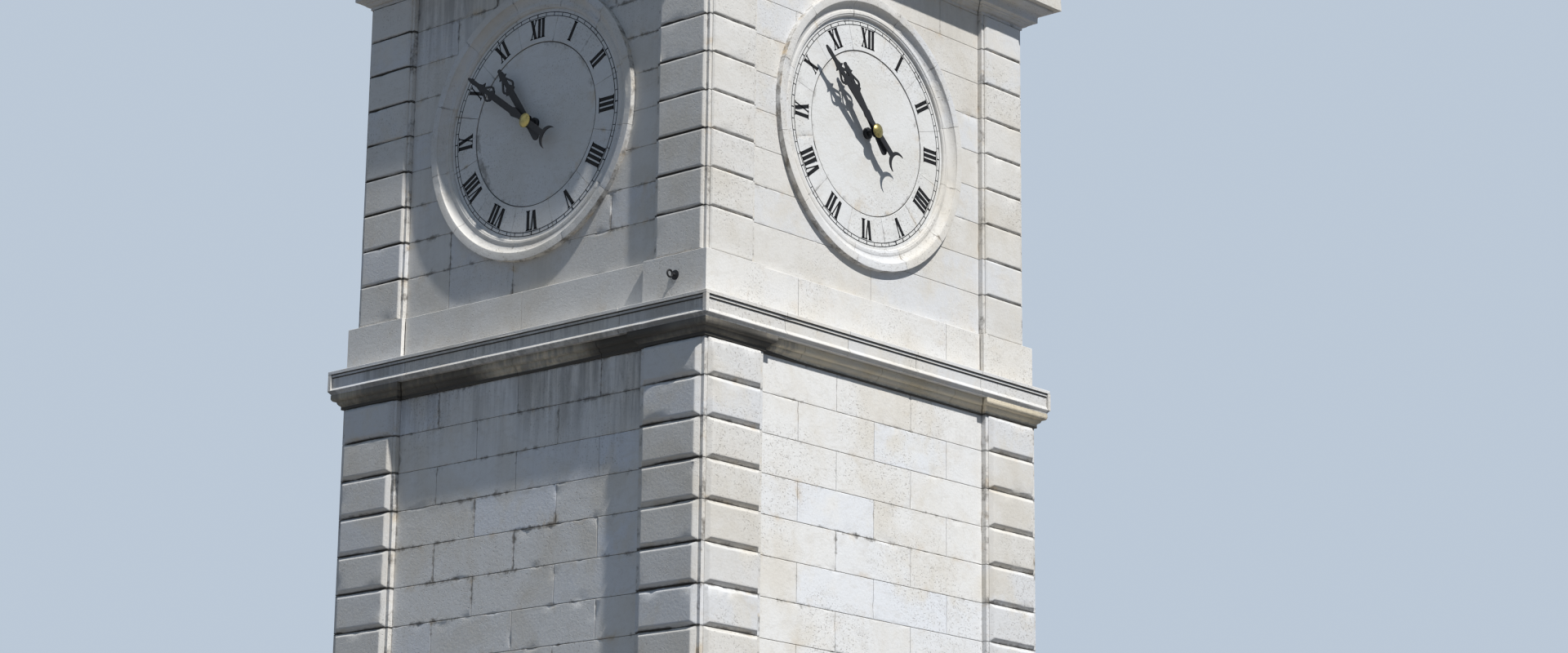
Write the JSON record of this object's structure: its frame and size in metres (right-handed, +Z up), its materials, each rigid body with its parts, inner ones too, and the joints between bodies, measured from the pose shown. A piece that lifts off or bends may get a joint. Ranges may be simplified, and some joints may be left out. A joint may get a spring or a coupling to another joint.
{
  "type": "clock tower",
  "caption": "Square stone clock tower with bevelled corner blocks, moulded string course and cornice, and on every face a round dial with turning openwork hands.",
  "frame": {"origin": "on the ground, at the middle of the tower's base", "axes": "+Z up, front face and its dial towards -Y, left face and its dial towards -X"},
  "size_m": [5.246, 5.246, 14.712],
  "materials": {
    "black_iron": "painted black, matt",
    "brass": "dull",
    "dial_stone": "honed, weathered",
    "limestone": "fine dressed, weathered",
    "roof_slabs": "rough, weathered"
  },
  "bodies": {
    "tower": {"base_plinth": "limestone", "clock_corner_piers": "limestone", "clock_plinth": "limestone", "clock_wall_back": "limestone", "clock_wall_front": "limestone", "clock_wall_left": "limestone", "clock_wall_right": "limestone", "cornice": "limestone", "cornice_bed_mould": "limestone", "dial_bosses": "black_iron", "dial_discs": "dial_stone", "dial_surrounds": "limestone", "lower_corner_piers": "limestone", "lower_wall_back": "limestone", "lower_wall_front": "limestone", "lower_wall_left": "limestone", "lower_wall_right": "limestone", "numeral_rings": "dial_stone", "parapet": "limestone", "roof": "roof_slabs", "string_bed_mould": "limestone", "string_course": "limestone"},
    "minute_front": {"minute_hand_front": "black_iron", "minute_arbor_front": "black_iron", "hub_cap_front": "brass"},
    "hour_front": {"hour_hand_front": "black_iron"},
    "minute_left": {"minute_hand_left": "black_iron", "minute_arbor_left": "black_iron", "hub_cap_left": "brass"},
    "hour_left": {"hour_hand_left": "black_iron"},
    "minute_back": {"minute_hand_back": "black_iron", "minute_arbor_back": "black_iron", "hub_cap_back": "brass"},
    "hour_back": {"hour_hand_back": "black_iron"},
    "minute_right": {"minute_hand_right": "black_iron", "minute_arbor_right": "black_iron", "hub_cap_right": "brass"},
    "hour_right": {"hour_hand_right": "black_iron"}
  },
  "joints": [
    {"name": "front_minute_turn", "type": "hinge", "parent": "tower", "child": "minute_front", "pos_m": [0, -2.37, 11.647], "axis": [0, 1, 0], "continuous": true},
    {"name": "front_hour_turn", "type": "hinge", "parent": "tower", "child": "hour_front", "pos_m": [0, -2.37, 11.647], "axis": [0, 1, 0], "continuous": true},
    {"name": "left_minute_turn", "type": "hinge", "parent": "tower", "child": "minute_left", "pos_m": [-2.37, 0, 11.647], "axis": [1, 0, 0], "continuous": true},
    {"name": "left_hour_turn", "type": "hinge", "parent": "tower", "child": "hour_left", "pos_m": [-2.37, 0, 11.647], "axis": [1, 0, 0], "continuous": true},
    {"name": "back_minute_turn", "type": "hinge", "parent": "tower", "child": "minute_back", "pos_m": [0, 2.37, 11.647], "axis": [0, -1, 0], "continuous": true},
    {"name": "back_hour_turn", "type": "hinge", "parent": "tower", "child": "hour_back", "pos_m": [0, 2.37, 11.647], "axis": [0, -1, 0], "continuous": true},
    {"name": "right_minute_turn", "type": "hinge", "parent": "tower", "child": "minute_right", "pos_m": [2.37, 0, 11.647], "axis": [-1, 0, 0], "continuous": true},
    {"name": "right_hour_turn", "type": "hinge", "parent": "tower", "child": "hour_right", "pos_m": [2.37, 0, 11.647], "axis": [-1, 0, 0], "continuous": true}
  ],
  "couplings": [
    {"joint": "front_hour_turn", "follows": "front_minute_turn", "ratio": 0.083333},
    {"joint": "left_minute_turn", "follows": "front_minute_turn", "ratio": 1},
    {"joint": "left_hour_turn", "follows": "front_minute_turn", "ratio": 0.083333},
    {"joint": "back_minute_turn", "follows": "front_minute_turn", "ratio": 1},
    {"joint": "back_hour_turn", "follows": "front_minute_turn", "ratio": 0.083333},
    {"joint": "right_minute_turn", "follows": "front_minute_turn", "ratio": 1},
    {"joint": "right_hour_turn", "follows": "front_minute_turn", "ratio": 0.083333}
  ]
}
